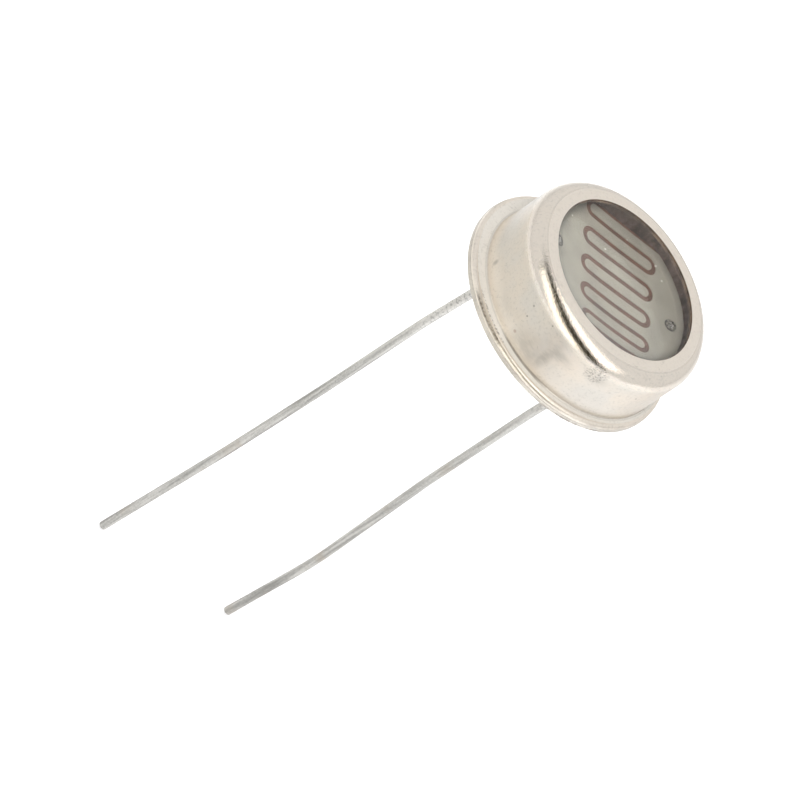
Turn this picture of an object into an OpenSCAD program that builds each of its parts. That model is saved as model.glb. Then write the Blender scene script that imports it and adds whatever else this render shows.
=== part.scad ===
// Photoresistor in a metal can: a light-sensitive cell on a ceramic disc, behind a fused glass window,
// on a stamped header with two wire leads sealed in glass beads.
// Millimetres. +Z points out of the window, +X from the left lead to the right one, and the origin is the
// centre of the seating plane under the header's flange.

/* [Can] */
// Outside diameter of the can's wall
can_d = 13.4; // [12.4:0.1:16]
// Height of the can's rim above the seating plane
can_top = 4.95; // [4.6:0.05:6]
// Thickness of the can's sheet
can_t = 0.3; // [0.2:0.05:0.4]
// Outside radius of the rounded shoulder
shoulder_r = 1.15; // [0.8:0.05:1.4]
// Radius of the bend between the wall and the flange
foot_r = 0.12; // [0.06:0.02:0.2]
// Mean width of the can's flange beyond the wall
can_flange_w = 0.78; // [0.7:0.02:0.9]
// Radius rolled on the upper edge of the can's flange
flange_edge_r = 0.26; // [0.1:0.02:0.28]
// Width of the rim, from the outside of the wall to the edge of the window
rim_w = 1.58; // [1.45:0.01:2]
// Sideways offset of the can on the header, along X
can_off_x = 0.2; // [-0.2:0.01:0.2]
// Sideways offset of the can on the header, along Y
can_off_y = -0.12; // [-0.2:0.01:0.2]

/* [Window] */
// Depth of the glass's flat middle below the can's rim
glass_drop = 0.7; // [0.5:0.01:0.8]
// Depth of the glass's edge below the can's rim
glass_edge_drop = 0.08; // [0.04:0.01:0.15]
// Width of the bowl-shaped curve in which the glass rises to the rim
meniscus_w = 3.9; // [2.5:0.1:4.5]
// Thickness of the glass in the middle
glass_t = 0.35; // [0.3:0.05:0.7]

/* [Cell] */
// Gap between the glass and the electrodes
cell_gap = 0.16; // [0.13:0.01:0.4]
// Room between the round edge of the substrate and the can's wall
cell_room = 0.7; // [0.5:0.05:1]
// Depth of each flat on the substrate's edge
flat_depth = 0.6; // [0.5:0.02:1]
// Thickness of the ceramic substrate
substrate_t = 1.75; // [1.4:0.05:2]
// Thickness of the photosensitive layer
photo_t = 0.05; // [0.02:0.01:0.08]
// Thickness of the metal film of the electrodes
electrode_t = 0.04; // [0.02:0.01:0.06]
// Bare margin between the films and the substrate's edge
film_margin = 0.08; // [0.04:0.02:0.12]
// Fingers of the right electrode, each one bounded by two runs of the track
finger_pairs = 5; // [3:1:6]
// Width of the bare track between the electrodes
track_w = 0.35; // [0.2:0.01:0.45]
// Mean distance from a flat to the centre of the outermost run
run_edge = 0.39; // [0.3:0.01:0.45]
// Mean distance from a lead's axis to the outer end of the track's bends
bend_gap = 1.75; // [1.5:0.01:2]
// Offset of the track along X
track_off_x = 0.3; // [-0.4:0.01:0.4]
// Offset of the track along Y
track_off_y = 0.21; // [0:0.01:0.35]
// Sideways drift of the bends on the left, as a slope along Y
left_slope = -0.12; // [-0.15:0.01:0.15]
// Sideways drift of the bends on the right, as a slope along Y
right_slope = -0.06; // [-0.15:0.01:0.15]
// Outside diameter of the bonded contact round each lead's end
contact_d = 0.84; // [0.7:0.02:1]
// Height of the contact above the electrode
contact_h = 0.09; // [0.05:0.01:0.12]
// Width of the slope on the contact's edge
contact_slope = 0.08; // [0.02:0.01:0.1]

/* [Header] */
// Thickness of the header's sheet
header_t = 0.3; // [0.2:0.05:0.35]
// Width of the header's flange beyond the can's wall
header_flange_w = 0.8; // [0.7:0.02:1]
// Room between the header's raised middle and the can's wall
boss_room = 0.4; // [0.35:0.05:0.8]
// Inside radius of the header's bends
header_bend_r = 0.3; // [0.2:0.05:0.35]
// Diameter of each glass bead
bead_d = 1.1; // [1:0.05:1.6]
// Wall of the collar round each bead
collar_t = 0.2; // [0.15:0.05:0.3]
// Flat of the header between each collar and the bend
collar_room = 0.05; // [0.03:0.01:0.5]
// Length of the collar below the header's sheet
collar_h = 0.7; // [0.4:0.05:0.9]

/* [Leads] */
// Diameter of the lead wire
lead_d = 0.55; // [0.45:0.01:0.6]
// Clearance round each lead in the substrate and the films
lead_clear = 0.05; // [0.03:0.01:0.1]
// Height of the lead's end above the electrode
lead_end = 0.06; // [0.03:0.01:0.09]
// Direction in which the leads lean, in degrees from +X
lean_deg = 149; // [0:1:359]
// Radius of the bends in the wire
wire_bend_r = 45; // [20:1:80]
// Straight run of each lead after its first bend
run_1 = 4; // [2:0.5:8]
// Straight run of each lead after its second bend
run_2 = 8; // [5:0.5:12]
// Straight run of each lead after its third bend
run_3 = 8; // [5:0.5:12]
// Straight end of the left lead
left_tip = 10.9; // [6:0.1:14]
// Straight end of the right lead
right_tip = 6.1; // [5:0.1:14]
// Turn of the left lead at its first bend, in degrees
left_turn_1_deg = 2.59; // [1:0.01:5]
// Turn of the left lead at its second bend, in degrees
left_turn_2_deg = -1.92; // [-5:0.01:-0.5]
// Turn of the left lead at its third bend, in degrees
left_turn_3_deg = 0.76; // [0.5:0.01:5]
// Turn of the left lead at its fourth bend, in degrees
left_turn_4_deg = 1.06; // [0.5:0.01:5]
// Turn of the right lead at its first bend, in degrees
right_turn_1_deg = 2.89; // [1:0.01:5]
// Turn of the right lead at its second bend, in degrees
right_turn_2_deg = -2.8; // [-5:0.01:-0.5]
// Turn of the right lead at its third bend, in degrees
right_turn_3_deg = -1.65; // [-5:0.01:-0.5]
// Turn of the right lead at its fourth bend, in degrees
right_turn_4_deg = 4.62; // [1:0.01:6]

/* [Hidden] */
$fn = 64;

// Radii, from the can inwards.
can_r = can_d / 2;
wall_in_r = can_r - can_t;
window_r = can_r - rim_w;
header_r = can_r + header_flange_w;
boss_r = wall_in_r - boss_room;
cell_r = wall_in_r - cell_room;
lead_r = lead_d / 2;
collar_r = bead_d / 2 + collar_t;
lead_x = boss_r - header_t - header_bend_r - collar_room - collar_r;

// Heights, from the can's rim downwards.
lip_under = can_top - can_t;
glass_mid = can_top - glass_drop;
glass_edge = can_top - glass_edge_drop;
glass_under = glass_mid - glass_t;
electrode_top = glass_under - cell_gap;
photo_top = electrode_top - electrode_t;
substrate_top = photo_top - photo_t;
boss_top = substrate_top - substrate_t;
collar_end = boss_top - header_t - collar_h;

// Track of the cell: its runs lie along X, the first one nearest to the +Y flat.
runs = 2 * round(finger_pairs);
flat_y = cell_r - flat_depth;
run_pitch = 2 * (flat_y - run_edge) / (runs - 1);
bend_out_r = (run_pitch + track_w) / 2;
bend_in_r = (run_pitch - track_w) / 2;
bend_x = lead_x - bend_gap - bend_out_r;
// Side of a square that covers the cell.
cover = 4 * can_r;
// Depth by which the curve of the glass dips under its flat middle, so that the two cross cleanly.
dip = 0.004;
// Length by which a straight run of wire starts inside the bend before it.
lap = 0.001;
// Width in which the foot of the can's wall and its flange are one sheet.
foot_lap = 0.04;

// Height of the centre line of run i.
function run_y(i) = ((runs - 1) / 2 - i) * run_pitch;

// Height midway between run i and the next one.
function mid_y(i) = run_y(i) - run_pitch / 2;

// Quarter of a flat ring about the origin, in the quadrant that sx and sy point to.
module quarter_ring(inner, outer, sx, sy) {
    intersection() {
        difference() {
            circle(r = outer);
            circle(r = inner);
        }
        translate([sx < 0 ? -outer : 0, sy < 0 ? -outer : 0])
            square(outer);
    }
}

// Section of a drawn cup: a flange from z_flange up, a wall of outside radius r, and a top with a hole in it.
module cup_section(r, t, z_flange, flange_r, bend, shoulder, z_top, hole_r) {
    translate([r + bend, z_flange])
        square([flange_r - r - bend, t]);
    translate([r + bend, z_flange + t + bend])
        quarter_ring(bend, bend + t, -1, -1);
    translate([r - t, z_flange + t + bend])
        square([t, z_top - shoulder - z_flange - t - bend]);
    translate([r - shoulder, z_top - shoulder])
        quarter_ring(shoulder - t, shoulder, 1, 1);
    translate([hole_r, z_top - t])
        square([r - shoulder - hole_r, t]);
}

// Corner that is cut away where the can's flange is rolled.
module rolled_corner() {
    translate([can_r + can_flange_w - flange_edge_r, header_t + can_t - flange_edge_r])
        difference() {
            square(2 * flange_edge_r);
            circle(r = flange_edge_r);
        }
}

// Places what follows on the can's own axis.
module on_can_axis() {
    translate([can_off_x, can_off_y])
        children();
}

// Outline of the substrate, drawn in by a margin all round.
module cell_outline(margin) {
    intersection() {
        circle(r = cell_r - margin);
        square([cover, 2 * (flat_y - margin)], center = true);
    }
}

// Hole for a lead in the substrate and the films.
module lead_hole(side) {
    translate([side * lead_x, 0])
        circle(r = lead_r + lead_clear);
}

// Places what follows at the centre of the bend that joins run i to the next one on the given side.
module at_bend(i, side) {
    translate([side * bend_x + (side < 0 ? left_slope : right_slope) * mid_y(i), mid_y(i)])
        children();
}

// Fingers that reach from the cell's edge to the bends on the given side, with rounded ends there.
module fingers(first, last, side) {
    for (i = [first : 2 : last])
        at_bend(i, side) {
            translate([side > 0 ? -cover : 0, -bend_in_r])
                square([cover, 2 * bend_in_r]);
            circle(r = bend_in_r);
        }
}

// Spine that joins the fingers on either side of each bend, with room for the track's turn.
module spine(first, last, side) {
    for (i = [first : 2 : last])
        at_bend(i, side)
            difference() {
                translate([side < 0 ? -cover : 0, -bend_out_r - bend_in_r / 2])
                    square([cover, 2 * bend_out_r + bend_in_r]);
                circle(r = bend_out_r);
            }
}

// Spine on the left, its fingers, and the strip below the last run.
module left_comb() {
    fingers(1, runs - 3, 1);
    spine(0, runs - 2, -1);
    translate([-cover, -cover])
        square([2 * cover, cover + run_y(runs - 1) - track_w / 2]);
}

// Spine on the right and its fingers, which are the outermost ones.
module right_comb() {
    fingers(0, runs - 2, -1);
    spine(1, runs - 3, 1);
}

// Wire along -Z that bends in the XZ plane: at each step a turn, positive towards +X, and a straight run.
module wire(lengths, turns, i = 0) {
    if (i < len(lengths)) {
        turn = abs(turns[i]);
        side = turns[i] < 0 ? -1 : 1;
        rotate([0, 0, side < 0 ? 180 : 0])
            translate([wire_bend_r, 0, 0])
                rotate([90, 0, 0])
                    rotate([0, 0, 180])
                        rotate_extrude(angle = turn)
                            translate([wire_bend_r, 0])
                                circle(r = lead_r);
        translate([side * wire_bend_r * (1 - cos(turn)), 0, -wire_bend_r * sin(turn)])
            rotate([0, -turns[i], 0]) {
                translate([0, 0, -lengths[i]])
                    cylinder(h = lengths[i] + lap, r = lead_r);
                translate([0, 0, -lengths[i]])
                    wire(lengths, turns, i + 1);
            }
    }
}

// Lead from its end on the electrode down through the header.
module lead(side, lengths, turns) {
    translate([side * lead_x, 0, 0]) {
        cylinder(h = electrode_top + lead_end, r = lead_r);
        rotate([0, 0, lean_deg])
            wire(lengths, turns);
    }
}

// Glass that fills a collar round its lead.
module glass_bead(side) {
    translate([side * lead_x, 0, collar_end])
        difference() {
            cylinder(h = boss_top - collar_end, d = bead_d);
            translate([0, 0, -1])
                cylinder(h = boss_top - collar_end + 2, r = lead_r);
        }
}

// Bonded ring on the electrode round a lead's end.
module contact(side) {
    translate([side * lead_x, 0, electrode_top])
        rotate_extrude()
            polygon([
                [lead_r, 0],
                [contact_d / 2, 0],
                [contact_d / 2 - contact_slope, contact_h],
                [lead_r, contact_h]
            ]);
}

// Flange of the can, trimmed to the header's axis and open for the foot of the wall.
module can_flange() {
    translate([0, 0, header_t])
        difference() {
            cylinder(h = can_t, r = can_r + can_flange_w);
            on_can_axis()
                translate([0, 0, -1])
                    cylinder(h = can_t + 2, r = can_r + foot_r + foot_lap / 2);
        }
}

module can() {
    color("#D8CDBB")
        difference() {
            union() {
                on_can_axis()
                    rotate_extrude()
                        cup_section(
                            can_r, can_t, header_t, can_r + foot_r + foot_lap,
                            foot_r, shoulder_r, can_top, window_r
                        );
                can_flange();
            }
            rotate_extrude()
                rolled_corner();
        }
}

module window() {
    shoulder_in = shoulder_r - can_t;
    rise = glass_edge - glass_mid;
    curve_r = (meniscus_w * meniscus_w + rise * rise) / (2 * rise);
    color("#DDE8E4", 0.35)
        on_can_axis()
            rotate_extrude()
                difference() {
                    union() {
                        translate([0, glass_under])
                            square([window_r, glass_edge - glass_under]);
                        translate([0, glass_under])
                            square([can_r - shoulder_r, lip_under - glass_under]);
                        intersection() {
                            translate([can_r - shoulder_r, can_top - shoulder_r])
                                circle(r = shoulder_in);
                            translate([can_r - shoulder_r, glass_under])
                                square([shoulder_in, lip_under - glass_under]);
                        }
                    }
                    translate([0, glass_mid])
                        square([window_r - meniscus_w, glass_drop]);
                    translate([window_r - meniscus_w, glass_mid - dip + curve_r])
                        circle(r = curve_r);
                }
}

module header() {
    color("#B9B4AA")
        difference() {
            union() {
                rotate_extrude()
                    cup_section(
                        boss_r, header_t, 0, header_r, header_bend_r, header_bend_r + header_t, boss_top, 0
                    );
                for (side = [-1, 1])
                    translate([side * lead_x, 0, collar_end])
                        cylinder(h = boss_top - header_t / 2 - collar_end, r = collar_r);
            }
            for (side = [-1, 1])
                translate([side * lead_x, 0, collar_end - 1])
                    cylinder(h = boss_top - collar_end + 2, d = bead_d);
        }
}

module glass_bead_left() {
    color("#5E7A6C")
        glass_bead(-1);
}

module glass_bead_right() {
    color("#5E7A6C")
        glass_bead(1);
}

module substrate() {
    color("#E4DDCF")
        translate([0, 0, boss_top])
            linear_extrude(height = substrate_t)
                difference() {
                    cell_outline(0);
                    lead_hole(-1);
                    lead_hole(1);
                }
}

module photo_layer() {
    color("#785F52")
        translate([0, 0, substrate_top])
            linear_extrude(height = photo_t)
                difference() {
                    cell_outline(film_margin);
                    lead_hole(-1);
                    lead_hole(1);
                }
}

module electrode_left() {
    color("#B0B0A5")
        translate([0, 0, photo_top])
            linear_extrude(height = electrode_t)
                difference() {
                    intersection() {
                        cell_outline(film_margin);
                        translate([track_off_x, track_off_y])
                            left_comb();
                    }
                    lead_hole(-1);
                }
}

module electrode_right() {
    color("#B0B0A5")
        translate([0, 0, photo_top])
            linear_extrude(height = electrode_t)
                difference() {
                    intersection() {
                        cell_outline(film_margin);
                        translate([track_off_x, track_off_y])
                            right_comb();
                    }
                    lead_hole(1);
                }
}

module contact_left() {
    color("#9A958C")
        contact(-1);
}

module contact_right() {
    color("#9A958C")
        contact(1);
}

module lead_left() {
    color("#BEBBB4")
        lead(
            -1, [run_1, run_2, run_3, left_tip],
            [left_turn_1_deg, left_turn_2_deg, left_turn_3_deg, left_turn_4_deg]
        );
}

module lead_right() {
    color("#BEBBB4")
        lead(
            1, [run_1, run_2, run_3, right_tip],
            [right_turn_1_deg, right_turn_2_deg, right_turn_3_deg, right_turn_4_deg]
        );
}

can();
window();
header();
glass_bead_left();
glass_bead_right();
substrate();
photo_layer();
electrode_left();
electrode_right();
contact_left();
contact_right();
lead_left();
lead_right();
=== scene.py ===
"""Dresses the photoresistor.

A satin plated can has a fused glass window over a winding light-sensitive track, and stands on a stamped
header with two tinned leads. Sizes are in millimetres, apart from those of the camera, the floor, the lamps
and the cards, which are in metres.
"""

import logging
import math
from dataclasses import dataclass
from enum import Enum
from typing import Any, Iterable, Optional, Sequence, Union

import bmesh
import bpy
from mathutils import Matrix, Vector


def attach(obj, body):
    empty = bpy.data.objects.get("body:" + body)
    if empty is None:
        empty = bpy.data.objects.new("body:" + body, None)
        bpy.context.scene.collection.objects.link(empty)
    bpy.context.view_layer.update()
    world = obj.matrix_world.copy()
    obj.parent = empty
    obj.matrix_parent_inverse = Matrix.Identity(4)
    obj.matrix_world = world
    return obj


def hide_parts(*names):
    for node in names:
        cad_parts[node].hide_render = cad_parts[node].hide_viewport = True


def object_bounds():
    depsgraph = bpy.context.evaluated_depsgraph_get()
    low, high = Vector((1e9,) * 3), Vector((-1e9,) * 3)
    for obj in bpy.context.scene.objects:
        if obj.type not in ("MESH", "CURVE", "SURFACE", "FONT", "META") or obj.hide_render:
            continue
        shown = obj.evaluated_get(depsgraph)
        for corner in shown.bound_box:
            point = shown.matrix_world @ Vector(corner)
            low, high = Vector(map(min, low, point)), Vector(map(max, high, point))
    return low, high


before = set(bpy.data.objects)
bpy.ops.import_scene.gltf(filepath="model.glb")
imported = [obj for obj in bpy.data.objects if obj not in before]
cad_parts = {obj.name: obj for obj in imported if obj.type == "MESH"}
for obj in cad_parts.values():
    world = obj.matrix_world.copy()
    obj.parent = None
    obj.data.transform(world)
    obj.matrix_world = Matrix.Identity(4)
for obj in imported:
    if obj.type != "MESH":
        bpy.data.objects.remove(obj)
CAD_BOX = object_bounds()
LOG = logging.getLogger("photoresistor")
MM = 0.001
TURN = 2.0 * math.pi

Point = tuple[float, float]
Spot = tuple[float, float, float]
Colour = tuple[float, float, float]

WHITE: Colour = (1.0, 1.0, 1.0)
LEAD_X = 4.6
LEAD_R = 0.275
CUP_CENTRE: Point = (0.2, -0.12)
APERTURE_R = 5.12


class Part(Enum):
    """The pieces of the part that have their own mesh, by the name of their CAD node."""

    CAN = "can"
    WINDOW = "window"
    HEADER = "header"
    BEAD_LEFT = "glass_bead_left"
    BEAD_RIGHT = "glass_bead_right"
    SUBSTRATE = "substrate"
    PHOTO_LAYER = "photo_layer"
    ELECTRODE_LEFT = "electrode_left"
    ELECTRODE_RIGHT = "electrode_right"
    CONTACT_LEFT = "contact_left"
    CONTACT_RIGHT = "contact_right"
    LEAD_LEFT = "lead_left"
    LEAD_RIGHT = "lead_right"


class Slot(Enum):
    """The record's material slots."""

    CAN = "can"
    WINDOW = "window"
    HEADER = "header"
    BEAD = "bead"
    SUBSTRATE = "substrate"
    PHOTO_LAYER = "photo_layer"
    ELECTRODE = "electrode"
    CONTACT = "contact"
    LEAD = "lead"


class Side(Enum):
    """The two ends of the cell, by the sign of X."""

    LEFT = -1
    RIGHT = 1


class Tap:
    """One output socket of a node, ready for use in sums and products."""

    def __init__(self, recipe: "Recipe", socket: bpy.types.NodeSocket) -> None:
        """Keeps the socket and the recipe that owns it."""
        self.recipe = recipe
        self.socket = socket

    def _math(self, operation: str, first: "Value", second: "Value") -> "Tap":
        """Adds a Math node for two values."""
        return self.recipe.node("ShaderNodeMath", {"operation": operation}, {0: first, 1: second})

    def __add__(self, other: "Value") -> "Tap":
        """Sum."""
        return self._math("ADD", self, other)

    def __radd__(self, other: "Value") -> "Tap":
        """Sum, number first."""
        return self._math("ADD", other, self)

    def __sub__(self, other: "Value") -> "Tap":
        """Difference."""
        return self._math("SUBTRACT", self, other)

    def __rsub__(self, other: "Value") -> "Tap":
        """Difference, number first."""
        return self._math("SUBTRACT", other, self)

    def __mul__(self, other: "Value") -> "Tap":
        """Product."""
        return self._math("MULTIPLY", self, other)

    def __rmul__(self, other: "Value") -> "Tap":
        """Product, number first."""
        return self._math("MULTIPLY", other, self)

    def __pow__(self, other: "Value") -> "Tap":
        """Power."""
        return self._math("POWER", self, other)

    def __rpow__(self, other: "Value") -> "Tap":
        """Power, number first."""
        return self._math("POWER", other, self)

    def __or__(self, other: "Value") -> "Tap":
        """The larger of two masks."""
        return self._math("MAXIMUM", self, other)

    def __ror__(self, other: "Value") -> "Tap":
        """The larger of two masks, number first."""
        return self._math("MAXIMUM", other, self)


Value = Union[Tap, float]


@dataclass(frozen=True)
class Grain:
    """A soft noise pattern: features in a millimetre, octaves, weight of the finer ones and stretch."""

    scale: float
    detail: float = 3.0
    roughness: float = 0.55
    stretch: Optional[Spot] = None


class Recipe:
    """The node tree of a material or of the world, built node by node."""

    def __init__(self, owner: Union[str, bpy.types.World]) -> None:
        """Starts an empty tree.

        Args:
            owner: The name of a new material, or the world.
        """
        self.owner = bpy.data.materials.new(owner) if isinstance(owner, str) else owner
        self.owner.use_nodes = True
        self.tree = self.owner.node_tree
        self.tree.nodes.clear()
        self._place: Optional[Tap] = None

    def node(self, kind: str, settings: dict[str, Any], inputs: dict[Any, Any],
             output: Union[int, str] = 0) -> Tap:
        """Adds one node.

        Args:
            kind: The node's type.
            settings: Attributes, which are set before the sockets.
            inputs: Values or links by socket name or number.
            output: The output to hand on.

        Returns:
            The chosen output.
        """
        made = self.tree.nodes.new(kind)
        for key, value in settings.items():
            setattr(made, key, value)
        for key, value in inputs.items():
            socket = made.inputs[key]
            if isinstance(value, Tap):
                self.tree.links.new(value.socket, socket)
            elif isinstance(value, (tuple, list)) and len(value) == 3 and socket.type == "RGBA":
                socket.default_value = (*value, 1.0)
            else:
                socket.default_value = value
        return Tap(self, made.outputs[output])

    def place(self) -> Tap:
        """The point on the piece in millimetres, from Object coordinates.

        Returns:
            The point, from nodes that are made once.
        """
        if self._place is None:
            raw = self.node("ShaderNodeTexCoord", {}, {}, "Object")
            self._place = self.node("ShaderNodeMapping", {}, {"Vector": raw, "Scale": (1.0 / MM,) * 3})
        return self._place

    def axis(self, name: str) -> Tap:
        """One coordinate of the point in millimetres, by its letter."""
        return self.node("ShaderNodeSeparateXYZ", {}, {0: self.place()}, name)

    def radius(self, centre: Point = (0.0, 0.0)) -> Tap:
        """Distance from an upright axis in millimetres.

        Args:
            centre: Where the axis is.

        Returns:
            The distance.
        """
        across = self.axis("X") - centre[0]
        along = self.axis("Y") - centre[1]
        return (across * across + along * along) ** 0.5

    def noise(self, grain: Grain) -> Tap:
        """Soft noise from 0 to 1.

        Args:
            grain: The pattern.

        Returns:
            The noise value.
        """
        where = self.place()
        if grain.stretch is not None:
            where = self.node("ShaderNodeMapping", {}, {"Vector": where, "Scale": grain.stretch})
        inputs = {"Scale": grain.scale, "Detail": grain.detail, "Roughness": grain.roughness}
        return self.node("ShaderNodeTexNoise", {}, {"Vector": where, **inputs})

    def cells(self, scale: float) -> Tap:
        """Distance to the nearest of scattered points, for specks and bubbles."""
        return self.node("ShaderNodeTexVoronoi", {}, {"Vector": self.place(), "Scale": scale}, "Distance")

    def ease(self, value: Value, low: float, high: float, start: float = 0.0, end: float = 1.0) -> Tap:
        """A smooth step.

        Args:
            value: What is measured.
            low: Where the step starts.
            high: Where the step ends.
            start: The result before the step.
            end: The result after it.

        Returns:
            The eased value.
        """
        inputs = {"Value": value, "From Min": low, "From Max": high, "To Min": start, "To Max": end}
        return self.node("ShaderNodeMapRange", {"interpolation_type": "SMOOTHSTEP"}, inputs)

    def fall(self, value: Value, low: float, high: float, start: float = 1.0) -> Tap:
        """A smooth step down to 0."""
        return self.ease(value, low, high, start, 0.0)

    def band(self, value: Value, low: float, high: float, soft: float) -> Tap:
        """1 between two values and 0 outside them, with soft ends."""
        return self.ease(value, low - soft, low + soft) * self.fall(value, high - soft, high + soft)

    def spots(self, points: Iterable[Spot], size: float) -> Tap:
        """A mask that is 1 at some points of the piece.

        Args:
            points: The points in millimetres.
            size: Radius of each spot.

        Returns:
            The mask.
        """
        mask: Optional[Tap] = None
        for point in points:
            ends = {0: self.place(), 1: point}
            apart = self.node("ShaderNodeVectorMath", {"operation": "DISTANCE"}, ends, "Value")
            one = self.fall(apart, 0.5 * size, size)
            mask = one if mask is None else mask | one
        return mask

    def blend(self, factor: Value, first: Union[Tap, Colour], second: Union[Tap, Colour]) -> Tap:
        """Mixes two colours."""
        return self.node("ShaderNodeMix", {"data_type": "RGBA"}, {0: factor, 6: first, 7: second}, 2)

    def bump(self, height: Tap, strength: float) -> Tap:
        """A normal that is roughened by a height in millimetres."""
        return self.node("ShaderNodeBump", {}, {"Height": height, "Strength": strength, "Distance": MM})

    def surface(self, **sockets: Any) -> bpy.types.Material:
        """Ends the tree in a Principled shader.

        Args:
            **sockets: Values or links by socket name, with _ for each space.

        Returns:
            The finished material.
        """
        inputs = {key.replace("_", " "): value for key, value in sockets.items()}
        return self.end(self.node("ShaderNodeBsdfPrincipled", {}, inputs))

    def ray(self, output: str) -> Tap:
        """What the Light Path node says of a ray, by the output's name."""
        return self.node("ShaderNodeLightPath", {}, {}, output)

    def end(self, shader: Tap) -> Union[bpy.types.Material, bpy.types.World]:
        """Ends the tree in any shader.

        Args:
            shader: The shader.

        Returns:
            The finished material or world.
        """
        is_world = isinstance(self.owner, bpy.types.World)
        out = self.tree.nodes.new("ShaderNodeOutputWorld" if is_world else "ShaderNodeOutputMaterial")
        self.tree.links.new(shader.socket, out.inputs["Surface"])
        return self.owner


@dataclass(frozen=True)
class DarkPatch:
    """A soft dark patch on the plate, partly a handling mark and partly painted reflection: its middle, its
    reach along each axis and how dark it is.
    """

    spot: Spot
    reach: Spot
    depth: float


@dataclass(frozen=True)
class PlatedSteel:
    """Satin nickel plate on drawn steel, burnished on the shoulder, with painted highlights on the rim,
    shoulder, flange and lower wall, painted shade at the wall's foot, and darker patches that are partly
    handling marks and partly painted reflection.

    A pair of numbers is where a soft step starts and ends: a height, a radius or the level of a pattern.
    """

    name: str = "can_plate"
    warm: Colour = (0.735, 0.66, 0.572)
    cool: Colour = (0.69, 0.645, 0.585)
    # Lighter colour of the painted highlight on the rim, flange, shoulder and lower wall.
    rim: Colour = (0.92, 0.845, 0.75)
    # Paler colour of the painted highlight on the flange's flat.
    pale: Colour = (0.745, 0.712, 0.65)
    # Colour of the darker patches, partly painted reflection, and of the grain, lines and scores.
    dull_and_shade: Colour = (0.36, 0.335, 0.295)
    # Colour of pits and scratches, and of the painted shade at the wall's foot and the painted dark
    # reflection streak on the flange.
    dirt_and_shade: Colour = (0.10, 0.075, 0.055)
    rust: Colour = (0.28, 0.10, 0.055)
    rough: float = 0.36
    burnished: float = 0.11
    centre: Point = CUP_CENTRE
    cloud: Grain = Grain(0.42, 3.0, 0.5)
    grain: Grain = Grain(6.0, 4.0, 0.7)
    drawn: Grain = Grain(2.4, 3.0, 0.6, (1.0, 1.0, 0.14))
    stain: Grain = Grain(1.1, 4.0, 0.62)
    score: Grain = Grain(9.0, 2.0, 0.6, (0.25, 0.25, 1.6))
    fine: Grain = Grain(11.0, 2.0, 0.6, (0.6, 0.6, 1.2))
    pebble: Grain = Grain(12.0, 2.0, 0.6)
    dents: Grain = Grain(0.9, 2.0, 0.5)
    clouding: Point = (0.35, 0.68)
    graining: Point = (0.50, 0.74)
    lining: Point = (0.55, 0.85)
    tearing: Point = (0.34, 0.60)
    scoring: Point = (0.62, 0.74)
    score_clouds: Point = (0.5, 0.7)
    shoulder_foot: Point = (3.7, 4.35)
    shoulder_top: Point = (4.86, 4.94)
    rim_foot: Point = (4.87, 4.92)
    low_wall: Point = (0.9, 2.0)
    low_side: Point = (-4.5, -2.0)
    flange_top: Point = (0.61, 0.64)
    flat_foot: Point = (0.58, 0.595)
    flat_edge: Point = (7.18, 7.26)
    flange_edge: Point = (7.36, 7.47)
    edge_clouds: Point = (0.45, 0.65)
    # Radii and top of the painted shade in the crease at the wall's foot.
    shade_line: Point = (6.70, 6.85)
    shade_line_top: Point = (0.62, 0.76)
    scratching: Point = (0.50, 0.58)
    roll: Point = (0.41, 0.54)
    roll_edge: Point = (7.30, 7.36)
    roll_grain: Point = (0.4, 0.6)
    inner: Point = (7.10, 7.24)
    inner_grain: Point = (0.48, 0.56)
    # Dark patches on the wall, partly handling marks and partly painted reflection.
    dark_patches: tuple[DarkPatch, ...] = (
        DarkPatch((-3.3, -5.8, 1.4), (1.8, 1.6, 1.5), 0.40),
        DarkPatch((-2.0, -6.45, 2.85), (1.5, 1.0, 0.6), 0.50),
        DarkPatch((-2.3, -6.35, 2.2), (0.6, 0.5, 1.9), 0.55),
        DarkPatch((-5.2, -4.0, 1.3), (1.6, 1.6, 0.8), 0.25),
        DarkPatch((0.6, -6.8, 3.4), (1.1, 0.5, 0.6), 0.25),
        DarkPatch((-6.37, -1.45, 1.33), (0.2, 0.25, 0.4), 0.6),
        DarkPatch((-5.45, -3.05, 4.6), (0.45, 0.5, 0.35), 0.55),
    )
    patch_core: float = 0.15
    pits: tuple[Spot, ...] = (
        (-4.58, -4.82, 3.33),
        (-4.39, -5.0, 2.58),
        (-3.38, -5.79, 3.78),
        (3.68, -5.85, 3.12),
    )
    pit_size: float = 0.075
    stains: tuple[Spot, ...] = ((-4.15, -5.21, 1.32),)
    stain_size: float = 0.13
    scratches: tuple[Spot, ...] = ((0.26, -6.82, 3.65),)
    scratch_size: float = 0.85
    # Spots where the painted shade at the wall's foot is deeper.
    darkening: tuple[Spot, ...] = ((-2.9, -6.2, 0.66),)
    foot_shade_size: float = 2.3
    # Where the painted dark reflection streak crosses the flange.
    streaks: tuple[Spot, ...] = ((-5.62, -4.89, 0.46),)
    streak_size: float = 2.2

    def patches(self, mix: Recipe) -> Tap:
        """The dark patches together, partly handling marks and partly painted reflection.

        Args:
            mix: The material's tree.

        Returns:
            How dark the patches make the plate at each point.
        """
        total: Optional[Tap] = None
        for each_patch in self.dark_patches:
            scale = tuple(1.0 / reach for reach in each_patch.reach)
            shift = tuple(-at * k for at, k in zip(each_patch.spot, scale))
            inputs = {"Vector": mix.place(), "Scale": scale, "Location": shift}
            local = mix.node("ShaderNodeMapping", {}, inputs)
            away = mix.node("ShaderNodeVectorMath", {"operation": "LENGTH"}, {0: local}, "Value")
            one = mix.fall(away, self.patch_core, 1.0, each_patch.depth)
            total = one if total is None else total | one
        return total

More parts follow.
